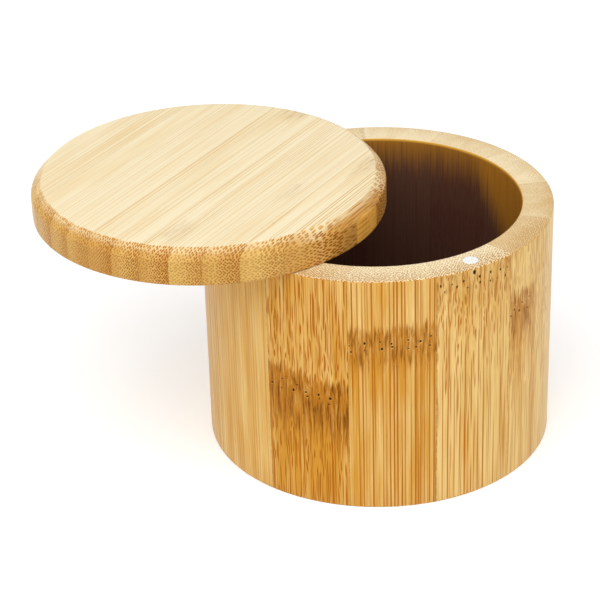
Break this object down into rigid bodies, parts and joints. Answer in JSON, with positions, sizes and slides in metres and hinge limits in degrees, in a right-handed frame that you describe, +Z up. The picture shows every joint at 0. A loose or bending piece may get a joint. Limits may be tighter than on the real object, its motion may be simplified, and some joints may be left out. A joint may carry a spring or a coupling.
{
  "type": "salt box with swivel lid",
  "caption": "Round bamboo salt box: a thick-walled cup of glued staves under a flat lid of glued strips that swivels on a pin in the rim and is held shut by magnets.",
  "frame": {"origin": "centre of the underside of the box, on the box's axis", "axes": "+Z up along the box's axis, the rim magnet towards -Y and the lid's pivot pin towards +Y; the lid is swung open towards -X"},
  "size_m": [0.1247, 0.1106, 0.0726],
  "materials": {
    "bamboo_wall": "turned across upright staves, sanded and oiled",
    "bamboo_floor": "edge-glued strips, sanded and oiled",
    "bamboo_lid": "edge-glued strips, sanded and oiled",
    "pin_steel": "drawn rod, plain",
    "magnet_nickel": "nickel plated"
  },
  "bodies": {
    "box": {"wall_stave_01": "bamboo_wall", "wall_stave_02": "bamboo_wall", "wall_stave_03": "bamboo_wall", "wall_stave_04": "bamboo_wall", "wall_stave_05": "bamboo_wall", "wall_stave_06": "bamboo_wall", "wall_stave_07": "bamboo_wall", "wall_stave_08": "bamboo_wall", "wall_stave_09": "bamboo_wall", "wall_stave_10": "bamboo_wall", "wall_stave_11": "bamboo_wall", "wall_stave_12": "bamboo_wall", "wall_stave_13": "bamboo_wall", "floor_strip_01": "bamboo_floor", "floor_strip_02": "bamboo_floor", "floor_strip_03": "bamboo_floor", "floor_strip_04": "bamboo_floor", "floor_strip_05": "bamboo_floor", "floor_strip_06": "bamboo_floor", "floor_strip_07": "bamboo_floor", "floor_strip_08": "bamboo_floor", "floor_strip_09": "bamboo_floor", "floor_strip_10": "bamboo_floor", "floor_strip_11": "bamboo_floor", "rim_magnet": "magnet_nickel"},
    "lid": {"lid_strip_01": "bamboo_lid", "lid_strip_02": "bamboo_lid", "lid_strip_03": "bamboo_lid", "lid_strip_04": "bamboo_lid", "lid_strip_05": "bamboo_lid", "lid_strip_06": "bamboo_lid", "lid_strip_07": "bamboo_lid", "lid_strip_08": "bamboo_lid", "lid_strip_09": "bamboo_lid", "lid_strip_10": "bamboo_lid", "lid_strip_11": "bamboo_lid", "lid_strip_12": "bamboo_lid", "lid_strip_13": "bamboo_lid", "pivot_pin": "pin_steel", "lid_magnet": "magnet_nickel"}
  },
  "joints": [
    {"name": "lid_swivel", "type": "hinge", "parent": "box", "child": "lid", "pos_m": [0, 0.0405, 0.0636], "axis": [0, 0, 1], "continuous": true}
  ]
}
